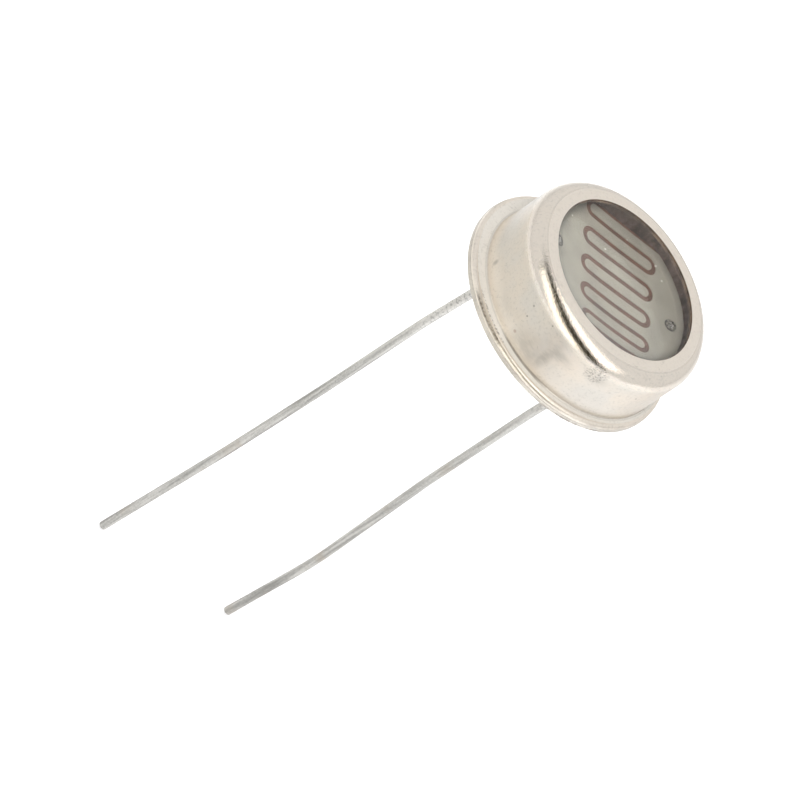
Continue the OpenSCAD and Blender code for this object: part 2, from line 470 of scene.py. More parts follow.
    def dulled_and_shaded(self, mix: Recipe, cloud: Tap, drawn: Tap) -> Tap:
        """Where the plate is darker: patches that are partly handling marks and partly painted reflection,
        drawing lines and fine scores.

        Args:
            mix: The material's tree.
            cloud: The broad pattern.
            drawn: The lines from drawing.

        Returns:
            The mask.
        """
        score = mix.noise(self.score)
        torn = mix.ease(mix.noise(self.stain) * 0.6 + score * 0.4, *self.tearing, 0.3, 1.0)
        lines = mix.ease(drawn, *self.lining) * 0.16
        scored = mix.ease(score, *self.scoring) * mix.ease(cloud, *self.score_clouds) * 0.4
        return (self.patches(mix) * torn) | lines | scored

    def soiled_and_shaded(self, mix: Recipe, cloud: Tap, grain: Tap, on_flange: Tap) -> Tap:
        """Where the plate is darker still: dark specks in pits and scratches, painted shade in the crease
        at the wall's foot, a painted dark reflection streak on the flange, and a cloudy band on the
        flange's outer edge.

        Args:
            mix: The material's tree.
            cloud: The broad pattern.
            grain: The fine pattern.
            on_flange: Where the flange is.

        Returns:
            The mask.
        """
        height, out, fine = mix.axis("Z"), mix.radius(), mix.noise(self.fine)
        pits = mix.spots(self.pits, self.pit_size) * 0.55
        # Painted shade in the crease at the wall's foot, deeper near the listed spots.
        shade_line = mix.band(mix.radius(self.centre), *self.shade_line, 0.04) * mix.fall(height, *self.shade_line_top)
        foot = shade_line * (0.2 + mix.spots(self.darkening, self.foot_shade_size) * 0.45)
        edge = on_flange * mix.ease(out, *self.flange_edge) * mix.ease(cloud, *self.edge_clouds) * 0.3
        scratched = mix.spots(self.scratches, self.scratch_size) * mix.ease(fine, *self.scratching) * 0.55
        on_roll = mix.band(height, *self.roll, 0.05) * mix.ease(out, *self.roll_edge)
        on_roll = on_roll * (0.62 + mix.ease(grain, *self.roll_grain) * 0.3)
        inside = mix.band(out, *self.inner, 0.03) * on_flange * mix.ease(fine, *self.inner_grain) * 0.6
        # Painted dark reflection streak on the flange's roll and inner edge.
        streak = mix.spots(self.streaks, self.streak_size) * (on_roll | inside)
        return pits | foot | edge | scratched | streak

    def material(self) -> bpy.types.Material:
        """Builds the finish.

        Returns:
            The material.
        """
        mix = Recipe(self.name)
        cloud, grain, drawn = mix.noise(self.cloud), mix.noise(self.grain), mix.noise(self.drawn)
        height = mix.axis("Z")
        burnish = mix.ease(height, *self.shoulder_foot) * mix.fall(height, *self.shoulder_top)
        on_rim = mix.ease(height, *self.rim_foot)
        on_flange = mix.fall(height, *self.flange_top)
        flat = mix.ease(height, *self.flat_foot) * on_flange * mix.fall(mix.radius(), *self.flat_edge)
        # Painted highlight on the lower wall, stronger on its left side.
        low = mix.fall(height, *self.low_wall) * mix.ease(mix.axis("X"), *self.low_side, 0.75, 0.15)
        dull_and_shade = self.dulled_and_shaded(mix, cloud, drawn)
        grainy = mix.ease(grain, *self.graining) * (0.34 - (on_rim | burnish) * 0.14)
        colour = mix.blend(mix.ease(cloud, *self.clouding), self.warm, self.cool)
        # Painted highlight: the rim, the flange, the burnished shoulder and the lower left of the wall are
        # lightened towards the rim colour.
        colour = mix.blend(on_rim | on_flange | (burnish * 0.75) | low, colour, self.rim)
        # Painted highlight: the flange's flat is made paler and less metallic so that it looks brightly
        # lit.
        colour = mix.blend(flat, colour, self.pale)
        # Darker where the patches of painted reflection and handling marks lie, and along drawing lines,
        # scores and grain.
        colour = mix.blend(dull_and_shade | grainy, colour, self.dull_and_shade)
        # Darker still in pits and scratches, with painted shade at the wall's foot and a painted dark
        # reflection streak on the flange.
        colour = mix.blend(self.soiled_and_shaded(mix, cloud, grain, on_flange), colour, self.dirt_and_shade)
        colour = mix.blend(mix.spots(self.stains, self.stain_size) * 0.35, colour, self.rust)
        rough = self.rough + (cloud - 0.5) * 0.16 + (grain - 0.5) * 0.2 + dull_and_shade * 0.1
        rough = rough - burnish * (self.rough - self.burnished)
        relief = mix.noise(self.dents) * 0.04 + drawn * 0.008 + grain * 0.014
        relief = relief + mix.noise(self.pebble) * (0.008 + burnish * 0.022)
        return mix.surface(Base_Color=colour, Metallic=1.0 - flat * 0.65, Roughness=rough,
                           Normal=mix.bump(relief, 0.35))


@dataclass(frozen=True)
class DarkInside:
    """Dull unpolished metal on the inside of the can, kept dark partly as painted shade of the deep gap
    under the window.
    """

    name: str = "can_inside"
    light: Colour = (0.40, 0.315, 0.27)
    dark: Colour = (0.19, 0.15, 0.128)
    speck: Colour = (0.55, 0.48, 0.40)
    cloud: Grain = Grain(1.2, 4.0, 0.65)
    specks: float = 2.6
    speck_size: Point = (0.05, 0.11)

    def material(self) -> bpy.types.Material:
        """Builds the finish.

        Returns:
            The material.
        """
        mix = Recipe(self.name)
        cloud = mix.noise(self.cloud)
        colour = mix.blend(mix.ease(cloud, 0.35, 0.65), self.light, self.dark)
        colour = mix.blend(mix.fall(mix.cells(self.specks), *self.speck_size, 0.6), colour, self.speck)
        return mix.surface(Base_Color=colour, Metallic=0.5, Roughness=0.5 + cloud * 0.2)


@dataclass(frozen=True)
class StainedShadedEdge:
    """Brown oxide on the can's cut edge, where the glass was fused to it, darkened further as a painted
    reflection of the dark inside of the can.
    """

    name: str = "can_cut_edge"
    light: Colour = (0.13, 0.088, 0.058)
    dark: Colour = (0.06, 0.043, 0.032)
    cloud: Grain = Grain(1.6, 4.0, 0.6)

    def material(self) -> bpy.types.Material:
        """Builds the finish.

        Returns:
            The material.
        """
        mix = Recipe(self.name)
        cloud = mix.noise(self.cloud)
        colour = mix.blend(mix.ease(cloud, 0.35, 0.65), self.light, self.dark)
        return mix.surface(Base_Color=colour, Metallic=0.3, Roughness=0.45 + cloud * 0.2)


@dataclass(frozen=True)
class DullPlate:
    """Dull nickel plate on the stamped header, with painted shade along the join under the can's flange and
    grime on one side.
    """

    name: str = "header_plate"
    light: Colour = (0.74, 0.69, 0.62)
    dark: Colour = (0.58, 0.54, 0.485)
    # Colour of the painted shade along the join under the can's flange.
    shade_line: Colour = (0.10, 0.085, 0.07)
    darkening: Colour = (0.15, 0.105, 0.075)
    cloud: Grain = Grain(0.6)
    grain: Grain = Grain(7.0, 3.0, 0.65)
    dents: Grain = Grain(1.1)
    mottling: Point = (0.38, 0.66)
    shade_line_ring: Point = (7.3, 7.48)
    shade_line_foot: Point = (0.285, 0.295)
    grime_side: Point = (0.5, -0.87)
    grime_start: Point = (5.2, 7.2)
    grime_edge: Point = (7.40, 7.47)
    grime_top: Point = (0.06, 0.2)
    grime_grain: Point = (0.4, 0.55)

    def material(self) -> bpy.types.Material:
        """Builds the finish.

        Returns:
            The material.
        """
        mix = Recipe(self.name)
        cloud, grain = mix.noise(self.cloud), mix.noise(self.grain)
        height, out = mix.axis("Z"), mix.radius()
        colour = mix.blend(mix.ease(cloud * 0.6 + grain * 0.4, *self.mottling), self.light, self.dark)
        # Painted shade on the header's top ring beside the can's flange.
        shade_line = mix.band(out, *self.shade_line_ring, 0.02) * mix.ease(height, *self.shade_line_foot)
        colour = mix.blend(shade_line * 0.5, colour, self.shade_line)
        sideways = mix.axis("X") * self.grime_side[0] + mix.axis("Y") * self.grime_side[1]
        darkening = mix.ease(sideways, *self.grime_start) * mix.ease(out, *self.grime_edge)
        darkening = darkening * mix.fall(height, *self.grime_top) * mix.ease(grain, *self.grime_grain)
        colour = mix.blend(darkening * 0.75, colour, self.darkening)
        rough = 0.38 + (grain - 0.5) * 0.16 + (cloud - 0.5) * 0.12
        relief = mix.noise(self.dents) * 0.03 + grain * 0.005
        return mix.surface(Base_Color=colour, Metallic=1.0, Roughness=rough, Normal=mix.bump(relief, 0.35))


@dataclass(frozen=True)
class TinnedWire:
    """Dull tin on drawn wire, lightly scored along its length and speckled near the can, where a painted
    highlight also lightens it.
    """

    name: str = "lead_tin"
    light: Colour = (0.61, 0.60, 0.57)
    dark: Colour = (0.29, 0.285, 0.268)
    stain: Colour = (0.40, 0.35, 0.29)
    fired: Colour = (0.07, 0.062, 0.05)
    # Colour of the painted highlight that lightens the wire near the can.
    bright: Colour = (0.91, 0.88, 0.835)
    lines: Grain = Grain(5.0, 3.0, 0.6, (1.0, 1.0, 0.04))
    grain: Grain = Grain(9.0, 3.0, 0.7)
    cloud: Grain = Grain(0.5, 3.0, 0.6)
    speckle: Grain = Grain(5.0, 4.0, 0.75)
    firing: Grain = Grain(9.0)
    scoring: Point = (0.36, 0.66)
    clouding: Point = (0.52, 0.72)
    speckling: Point = (0.50, 0.60)
    near_can: Point = (-14.0, -2.0)
    cell_end: Point = (3.6, 3.7)

    def material(self) -> bpy.types.Material:
        """Builds the finish.

        Returns:
            The material.
        """
        mix = Recipe(self.name)
        lines, grain = mix.noise(self.lines), mix.noise(self.grain)
        height = mix.axis("Z")
        near = mix.ease(height, *self.near_can)
        specks = near * mix.ease(mix.noise(self.speckle), *self.speckling) * 0.75
        fired = mix.ease(height, *self.cell_end) * mix.ease(mix.noise(self.firing), 0.4, 0.6)
        colour = mix.blend(mix.ease(lines * 0.65 + grain * 0.35, *self.scoring), self.light, self.dark)
        colour = mix.blend(mix.ease(mix.noise(self.cloud), *self.clouding) * 0.5, colour, self.stain)
        # Painted highlight: lighter near the can, against the shade the can casts there.
        colour = mix.blend(near * 0.6, colour, self.bright)
        colour = mix.blend(specks, colour, self.dark)
        colour = mix.blend(fired, colour, self.fired)
        return mix.surface(Base_Color=colour, Metallic=0.65, Roughness=0.34 + (grain - 0.5) * 0.3,
                           Normal=mix.bump(lines * 0.02 + grain * 0.012, 0.6))


@dataclass(frozen=True)
class FusedGlass:
    """Clear glass of the window."""

    name: str = "window_glass"
    tint: Colour = (0.985, 0.98, 0.965)
    index: float = 1.5
    ripple: Grain = Grain(0.8, 2.0)

    def material(self) -> bpy.types.Material:
        """Builds the finish.

        Returns:
            The material.
        """
        mix = Recipe(self.name)
        haze = mix.ease(mix.noise(self.ripple), 0.3, 0.8, 0.0, 0.02)
        return mix.surface(Base_Color=self.tint, Roughness=haze, IOR=self.index, Transmission_Weight=1.0)


@dataclass(frozen=True)
class SealGlass:
    """Dark sealing glass of the beads, with fine bubbles."""

    name: str = "bead_glass"
    deep: Colour = (0.05, 0.075, 0.065)
    pale: Colour = (0.10, 0.14, 0.12)
    index: float = 1.5
    cloud: Grain = Grain(3.0)
    bubbles: float = 7.0
    bubble_size: Point = (0.05, 0.16)

    def material(self) -> bpy.types.Material:
        """Builds the finish.

        Returns:
            The material.
        """
        mix = Recipe(self.name)
        cloud = mix.noise(self.cloud)
        bubbles = mix.fall(mix.cells(self.bubbles), *self.bubble_size)
        colour = mix.blend(mix.ease(cloud, 0.3, 0.7) | bubbles, self.deep, self.pale)
        return mix.surface(Base_Color=colour, Roughness=0.12 + cloud * 0.1, IOR=self.index,
                           Normal=mix.bump(cloud * 0.02, 0.4))


@dataclass(frozen=True)
class FiredCeramic:
    """Matt fired ceramic of the substrate."""

    name: str = "substrate_ceramic"
    body: Colour = (0.62, 0.58, 0.51)
    speck: Colour = (0.48, 0.44, 0.38)
    grain: Grain = Grain(9.0, 4.0, 0.65)

    def material(self) -> bpy.types.Material:
        """Builds the finish.

        Returns:
            The material.
        """
        mix = Recipe(self.name)
        grain = mix.noise(self.grain)
        colour = mix.blend(mix.ease(grain, 0.5, 0.72), self.body, self.speck)
        return mix.surface(Base_Color=colour, Roughness=0.75 + (grain - 0.5) * 0.2,
                           Normal=mix.bump(grain * 0.02, 0.5))


@dataclass(frozen=True)
class SinteredFilm:
    """Brown sintered film that shows in the track."""

    name: str = "photo_film"
    light: Colour = (0.100, 0.041, 0.024)
    dark: Colour = (0.054, 0.024, 0.015)
    grain: Grain = Grain(14.0, 4.0, 0.65)
    cloud: Grain = Grain(1.1, 2.0)

    def material(self) -> bpy.types.Material:
        """Builds the finish.

        Returns:
            The material.
        """
        mix = Recipe(self.name)
        grain, cloud = mix.noise(self.grain), mix.noise(self.cloud)
        colour = mix.blend(mix.ease(grain * 0.5 + cloud * 0.5, 0.36, 0.64), self.light, self.dark)
        return mix.surface(Base_Color=colour, Roughness=0.6 + (grain - 0.5) * 0.2,
                           Normal=mix.bump(grain * 0.01, 0.5))


@dataclass(frozen=True)
class MetalFilm:
    """Thin satin metal of the electrodes, slightly mottled, with dark specks, painted shade towards the
    right end, and dust.
    """

    name: str = "electrode_metal"
    light: Colour = (0.362, 0.345, 0.290)
    dark: Colour = (0.280, 0.268, 0.226)
    # Colour of the dark specks and of the painted shade towards the right end.
    specks_and_shade: Colour = (0.24, 0.225, 0.19)
    dusty: Colour = (0.8, 0.78, 0.72)
    cloud: Grain = Grain(0.5)
    grain: Grain = Grain(16.0, 4.0, 0.7)
    mottling: Point = (0.36, 0.66)
    side_shade_x: Point = (3.2, 6.0)
    specks: float = 1.7
    speck_size: Point = (0.035, 0.07)
    dust: tuple[Spot, ...] = (
        (-3.9, 2.6, 3.74),
        (0.5, 4.0, 3.74),
        (2.9, 3.7, 3.74),
        (3.5, 2.9, 3.74),
        (-0.9, 2.2, 3.74),
    )
    dust_size: float = 0.085

    def material(self) -> bpy.types.Material:
        """Builds the finish.

        Returns:
            The material.
        """
        mix = Recipe(self.name)
        cloud, grain = mix.noise(self.cloud), mix.noise(self.grain)
        # Painted shade: the film darkens towards the right end, beside the can's wall.
        side_shade = mix.ease(mix.axis("X") + cloud * 1.5, *self.side_shade_x) * 0.3
        speck = mix.fall(mix.cells(self.specks), *self.speck_size, 0.6)
        colour = mix.blend(mix.ease(cloud * 0.6 + grain * 0.4, *self.mottling), self.light, self.dark)
        colour = mix.blend(side_shade | speck, colour, self.specks_and_shade)
        colour = mix.blend(mix.spots(self.dust, self.dust_size) * 0.85, colour, self.dusty)
        return mix.surface(Base_Color=colour, Metallic=0.55, Roughness=0.5 + (grain - 0.5) * 0.2,
                           Normal=mix.bump(grain * 0.006, 0.5))


@dataclass(frozen=True)
class GrainyBond:
    """Grainy conductive bond round a lead's end, dark at its outline."""

    name: str = "contact_bond"
    light: Colour = (0.33, 0.31, 0.265)
    dark: Colour = (0.05, 0.046, 0.042)
    lead_x: float = LEAD_X
    outline: Point = (0.36, 0.41)
    grain: Grain = Grain(11.0, 3.0, 0.6)

    def material(self) -> bpy.types.Material:
        """Builds the finish.

        Returns:
            The material.
        """
        mix = Recipe(self.name)
        grain = mix.noise(self.grain)
        colour = mix.blend(mix.ease(grain, 0.42, 0.6), self.dark, self.light)
        sides = [mix.fall(mix.radius((side.value * self.lead_x, 0.0)), *self.outline) for side in Side]
        colour = mix.blend(sides[0] | sides[1], self.dark, colour)
        return mix.surface(Base_Color=colour, Metallic=0.7, Roughness=0.4 + grain * 0.2,
                           Normal=mix.bump(grain * 0.05, 0.8))


@dataclass(frozen=True)
class PaleFloor:
    """Plain pale floor that stays white to the camera, keeps the shadow and is clear from below."""

    name: str = "floor_white"
    colour: Colour = (0.86, 0.86, 0.86)
    speck: Colour = (0.9, 0.9, 0.9)
    cloud: Grain = Grain(0.02)
    lift: float = 0.4
    mirrored: float = 0.1

    def material(self) -> bpy.types.Material:
        """Builds the finish.

        Returns:
            The material.
        """
        mix = Recipe(self.name)
        seen = mix.ray("Is Camera Ray") | mix.ray("Is Transmission Ray")
        seen = seen | mix.ray("Is Glossy Ray") * self.mirrored
        tone = mix.blend(mix.noise(self.cloud) * 0.1, self.colour, self.speck)
        lit = mix.node("ShaderNodeBsdfDiffuse", {}, {"Color": tone})
        glow = mix.node("ShaderNodeEmission", {}, {"Color": WHITE, "Strength": seen * self.lift})
        both = mix.node("ShaderNodeAddShader", {}, {0: lit, 1: glow})
        clear = mix.node("ShaderNodeBsdfTransparent", {}, {})
        below = mix.node("ShaderNodeNewGeometry", {}, {}, "Backfacing")
        return mix.end(mix.node("ShaderNodeMixShader", {}, {0: below, 1: both, 2: clear}))


class Shape:
    """A bmesh in millimetres that grows by turning, bevelling and giving thickness."""

    def __init__(self) -> None:
        """Starts empty."""
        self.bm = bmesh.new()

    def turn(self, points: Sequence[Point], steps: int = 192, closed: bool = False) -> "Shape":
        """Turns a few points about the upright axis.

        Args:
            points: Radius and height of each corner of the section.
            steps: Steps round the axis.
            closed: Joins the last point to the first.

        Returns:
            This shape.
        """
        verts = [self.bm.verts.new((r, 0.0, z)) for r, z in points]
        pairs = list(zip(verts, verts[1:])) + ([(verts[-1], verts[0])] if closed else [])
        edges = [self.bm.edges.new(pair) for pair in pairs]
        bmesh.ops.spin(self.bm, geom=verts + edges, cent=(0, 0, 0), axis=(0, 0, 1), dvec=(0, 0, 0),
                       angle=TURN, steps=steps, use_merge=True, use_duplicate=False)
        return self.tidy()

    def merge(self) -> "Shape":
        """Merges doubles."""
        bmesh.ops.remove_doubles(self.bm, verts=self.bm.verts, dist=1e-5)
        return self

    def tidy(self) -> "Shape":
        """Merges doubles and turns the faces outwards."""
        self.merge()
        bmesh.ops.recalc_face_normals(self.bm, faces=self.bm.faces)
        return self

    def flip(self) -> "Shape":
        """Turns every face round."""
        bmesh.ops.reverse_faces(self.bm, faces=self.bm.faces)
        return self

    def ring(self, radius: float, height: float, slack: float = 2e-3) -> list[bmesh.types.BMEdge]:
        """The edges of one ring round the axis.

        Args:
            radius: The ring's radius.
            height: The ring's height.
            slack: How far off a corner may lie.

        Returns:
            Its edges.
        """
        def on(vert: bmesh.types.BMVert) -> bool:
            """Whether a corner lies on the ring."""
            return abs(vert.co.xy.length - radius) < slack and abs(vert.co.z - height) < slack
        return [edge for edge in self.bm.edges if on(edge.verts[0]) and on(edge.verts[1])]

    def round(self, radius: float, height: float, size: float, segments: int) -> "Shape":
        """Bevels one ring to a round of a given size."""
        bmesh.ops.bevel(self.bm, geom=self.ring(radius, height), offset=size, offset_type="OFFSET",
                        segments=segments, profile=0.5, affect="EDGES", clamp_overlap=True, material=-1)
        return self

    def face_up(self) -> "Shape":
        """Turns an open skin so that its upper side is its outside."""
        top = max(self.bm.faces, key=lambda face: abs(face.normal.z))
        return self.flip() if top.normal.z < 0 else self

    def circle(self, radius: float, x: float, z: float, steps: int) -> list[bmesh.types.BMEdge]:
        """Adds a level circle.

        Args:
            radius: Its radius.
            x: Where its centre is on the cell's long axis.
            z: Its height.
            steps: Its corners.

        Returns:
            Its edges.
        """
        verts = bmesh.ops.create_circle(self.bm, cap_ends=False, radius=radius, segments=steps)["verts"]
        bmesh.ops.translate(self.bm, verts=verts, vec=(x, 0.0, z))
        return list({edge for vert in verts for edge in vert.link_edges})

    def join(self, other: "Shape") -> "Shape":
        """Takes in the faces of another shape.

        Args:
            other: The shape, which is used up.

        Returns:
            This shape.
        """
        spare = bpy.data.meshes.new("spare")
        other.bm.to_mesh(spare)
        self.bm.from_mesh(spare)
        bpy.data.meshes.remove(spare)
        other.bm.free()
        return self

    def thicken(self, thickness: float) -> "Shape":
        """Gives a skin a wall on its inner side."""
        bmesh.ops.solidify(self.bm, geom=self.bm.faces, thickness=thickness)
        return self.merge()

    def move(self, x: float, y: float, z: float) -> "Shape":
        """Moves the whole shape."""
        bmesh.ops.translate(self.bm, verts=self.bm.verts, vec=(x, y, z))
        return self

    def piece(self, name: str, finishes: Sequence[bpy.types.Material], slot: Slot, nodes: Sequence[Part],
              crease: float = 35.0) -> bpy.types.Object:
        """Makes the finished object, in metres, that stands for CAD nodes.

        Args:
            name: The object's name.
            finishes: Its materials, in the order of the faces' indices.
            slot: The record's material slot; not used.
            nodes: The CAD nodes that it stands for.
            crease: Angle in degrees above which an edge stays sharp.

        Returns:
            The object.
        """
        bmesh.ops.scale(self.bm, vec=(MM, MM, MM), verts=self.bm.verts)
        mesh = bpy.data.meshes.new(name)
        self.bm.to_mesh(mesh)
        self.bm.free()
        mesh.shade_smooth()
        mesh.set_sharp_from_angle(angle=math.radians(crease))
        for finish in finishes:
            mesh.materials.append(finish)
        made = bpy.data.objects.new(name, mesh)
        bpy.context.scene.collection.objects.link(made)
        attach(made, "root")
        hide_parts(*(node.value for node in nodes))
        LOG.info("%s: %d faces", name, len(mesh.polygons))
        return made


@dataclass
class Can:
    """The drawn can, its flange and its rim."""

    wall_r: float = 6.7
    top: float = 4.95
    sheet: float = 0.3
    shoulder_r: float = 1.15
    foot_r: float = 0.12
    flange_r: float = 7.48
    flange_top: float = 0.6
    roll_r: float = 0.26
    window_r: float = APERTURE_R
    rim_edge_r: float = 0.03
    centre: Point = CUP_CENTRE

    def build(self) -> bpy.types.Object:
        """Turns the skin, rounds its bends and gives it the sheet's thickness.

        Returns:
            The object.
        """
        section = [
            (self.flange_r, self.flange_top),
            (self.wall_r, self.flange_top),
            (self.wall_r, self.top),
            (self.window_r, self.top),
        ]
        shape = Shape().turn(section, 256).face_up()
        shape.round(self.wall_r, self.top, self.shoulder_r, 24)
        shape.round(self.wall_r, self.flange_top, self.foot_r, 6)
        shape.thicken(self.sheet)
        shape.round(self.flange_r, self.flange_top, self.roll_r, 10)
        shape.round(self.window_r, self.top, self.rim_edge_r, 3)
        self.darken_inside(shape)
        self.set_off(shape)
        finishes = [PlatedSteel().material(), DarkInside().material(), StainedShadedEdge().material()]
        return shape.piece("can_shell", finishes, Slot.CAN, [Part.CAN])

    def set_off(self, shape: Shape) -> None:
        """Moves the cup beside the flange, whose edge stays about the header's axis.

        Args:
            shape: The can about its own axis.
        """
        cup = [vert for vert in shape.bm.verts if vert.co.xy.length < self.wall_r + 2.0 * self.foot_r]
        bmesh.ops.translate(shape.bm, verts=cup, vec=(*self.centre, 0.0))

    def darken_inside(self, shape: Shape) -> None:
        """Gives the faces inside the can, and those of the aperture's cut edge, their own finishes.

        Args:
            shape: The can about its own axis.
        """
        lowest = self.flange_top - self.sheet + 0.02
        highest = self.top - 0.9 * self.sheet
        for face in shape.bm.faces:
            centre = face.calc_center_median()
            facing = face.normal.dot(Vector((centre.x, centre.y, 0.0)).normalized())
            inner = facing < -0.05 or face.normal.z < -0.05
            if inner and lowest < centre.z < highest:
                face.material_index = 1
            elif facing < -0.2 and centre.z > self.top - self.sheet:
                face.material_index = 2


@dataclass
class Window:
    """The fused glass, flat in the middle and curved up to the rim."""

    rim_r: float = APERTURE_R
    lip_r: float = 5.8
    base_r: float = 6.4
    middle: float = 4.25
    edge: float = 4.87
    lip: float = 4.65
    under: float = 3.9
    curve_w: float = 3.9
    wet: float = 0.01
    base_h: float = 0.15
    neck_in: float = 0.19
    neck_down: float = 0.2
    centre: Point = CUP_CENTRE

    def build(self) -> bpy.types.Object:
        """Turns the section and rounds the corner that becomes the curve.

        Returns:
            The object.
        """
        rise = self.edge - self.middle
        curve_r = (self.curve_w ** 2 + rise ** 2) / (2.0 * rise)
        reach = curve_r * math.tan(0.5 * math.asin(self.curve_w / curve_r))
        corner = self.rim_r - self.curve_w + reach
        section = [
            (0.0, self.under),
            (self.base_r + self.wet, self.under),
            (self.base_r + self.wet, self.under + self.base_h),
            (self.base_r - self.neck_in, self.lip - self.neck_down),
            (self.lip_r, self.lip + self.wet),
            (self.rim_r + self.wet, self.lip + self.wet),
            (self.rim_r + self.wet, self.edge),
            (corner, self.middle),
            (0.0, self.middle),
        ]
        shape = Shape().turn(section)
        shape.round(corner, self.middle, 0.985 * reach, 24)
        shape.tidy().move(self.centre[0], self.centre[1], 0.0)
        made = shape.piece("window_glass", [FusedGlass().material()], Slot.WINDOW, [Part.WINDOW])
        made.visible_shadow = False
        return made


@dataclass
class Cell:
    """The ceramic disc with its films and contacts."""

    contact_r: float = 0.42
    lead_r: float = LEAD_R
    lead_x: float = LEAD_X
    film_top: float = 3.74
    bond_h: float = 0.09
    bond_slope: float = 0.04
    bond_edge_r: float = 0.05

    def dress(self) -> None:
        """Gives the flat CAD pieces their finishes."""
        film = MetalFilm().material()
        finishes = {
            Part.SUBSTRATE: FiredCeramic().material(),
            Part.PHOTO_LAYER: SinteredFilm().material(),
            Part.ELECTRODE_LEFT: film,
            Part.ELECTRODE_RIGHT: film,
        }
        for part, finish in finishes.items():
            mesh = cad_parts[part.value].data
            mesh.materials.clear()
            mesh.materials.append(finish)
            LOG.info("%s dressed", part.value)

    def bond(self, side: Side, node: Part, finish: bpy.types.Material) -> bpy.types.Object:
        """The rounded bond round one lead's end.

        Args:
            side: Which end of the cell.
            node: The CAD node that it stands for.
            finish: Its material.

        Returns:
            The object.
        """
        top = self.film_top + self.bond_h
        edge = self.contact_r - self.bond_slope
        section = [
            (self.lead_r, self.film_top),
            (self.contact_r, self.film_top),
            (edge, top),
            (self.lead_r, top),
        ]
        shape = Shape().turn(section, 48, True)
        shape.round(edge, top, self.bond_edge_r, 5)
        shape.move(side.value * self.lead_x, 0.0, 0.0)
        return shape.piece(node.value + "_bond", [finish], Slot.CONTACT, [node])

    def build(self) -> None:
        """Dresses the plates and makes both bonds."""
        self.dress()
        finish = GrainyBond().material()
        self.bond(Side.LEFT, Part.CONTACT_LEFT, finish)
        self.bond(Side.RIGHT, Part.CONTACT_RIGHT, finish)


@dataclass
class Header:
    """The stamped header with its sunken collars."""

    sheet: float = 0.3
    flange_r: float = 7.5
    boss_r: float = 6.0
    boss_top: float = 1.9
    bend_r: float = 0.3
    hole_r: float = 0.55
    collar_r: float = 0.75
    collar_end: float = 0.9
    collar_edge_r: float = 0.06
    lead_x: float = LEAD_X
    edge_r: float = 0.05

    def collar(self) -> Shape:
        """One collar about its own axis.

        Returns:
            The collar's shape.
        """
        root = self.boss_top - 0.5 * self.sheet
        section = [
            (self.hole_r, root),
            (self.hole_r, self.collar_end),
            (self.collar_r, self.collar_end),
            (self.collar_r, root),
        ]
        return Shape().turn(section, 48, True).round(self.collar_r, self.collar_end, self.collar_edge_r, 3)

    def build(self) -> bpy.types.Object:
        """Turns the skin, fills its top round the holes and gives it the sheet's thickness.

        Returns:
            The object.
        """
        shoulder = self.bend_r + self.sheet
        inner = self.boss_r - shoulder - 0.05
        section = [
            (self.flange_r, self.sheet),
            (self.boss_r, self.sheet),
            (self.boss_r, self.boss_top),
            (inner, self.boss_top),
        ]
        shape = Shape().turn(section).face_up()
        shape.round(self.boss_r, self.boss_top, shoulder, 12)
        shape.round(self.boss_r, self.sheet, self.bend_r, 8)
        edges = shape.ring(inner, self.boss_top)
        for side in Side:
            edges += shape.circle(self.hole_r, side.value * self.lead_x, self.boss_top, 48)
        bmesh.ops.triangle_fill(shape.bm, use_beauty=True, use_dissolve=False, edges=edges,
                                normal=(0, 0, 1))
        shape.tidy().face_up().thicken(self.sheet)
        shape.round(self.flange_r, self.sheet, self.edge_r, 3)
        shape.round(self.flange_r, 0.0, self.edge_r, 3)
        for side in Side:
            shape.join(self.collar().move(side.value * self.lead_x, 0.0, 0.0))
        return shape.piece("header_shell", [DullPlate().material()], Slot.HEADER, [Part.HEADER])


@dataclass
class Seals:
    """The glass beads that hold the leads in the collars."""

    bead_r: float = 0.545
    lead_r: float = 0.28
    top: float = 1.895
    end: float = 0.905
    dish: float = 0.06
    dish_r: float = 0.09
    lead_x: float = LEAD_X

    def build(self) -> None:
        """Turns a bead with dished ends for each lead."""
        finish = SealGlass().material()
        middle = 0.5 * (self.bead_r + self.lead_r)
        low, high = self.end + self.dish, self.top - self.dish
        section = [
            (self.lead_r, self.end),
            (middle, low),
            (self.bead_r, self.end),
            (self.bead_r, self.top),
            (middle, high),
            (self.lead_r, self.top),
        ]
        for side, node in ((Side.LEFT, Part.BEAD_LEFT), (Side.RIGHT, Part.BEAD_RIGHT)):
            shape = Shape().turn(section, 48, True)
            for level in (low, high):
                shape.round(middle, level, self.dish_r, 6)
            shape.move(side.value * self.lead_x, 0.0, 0.0)
            shape.piece(node.value + "_seal", [finish], Slot.BEAD, [node])


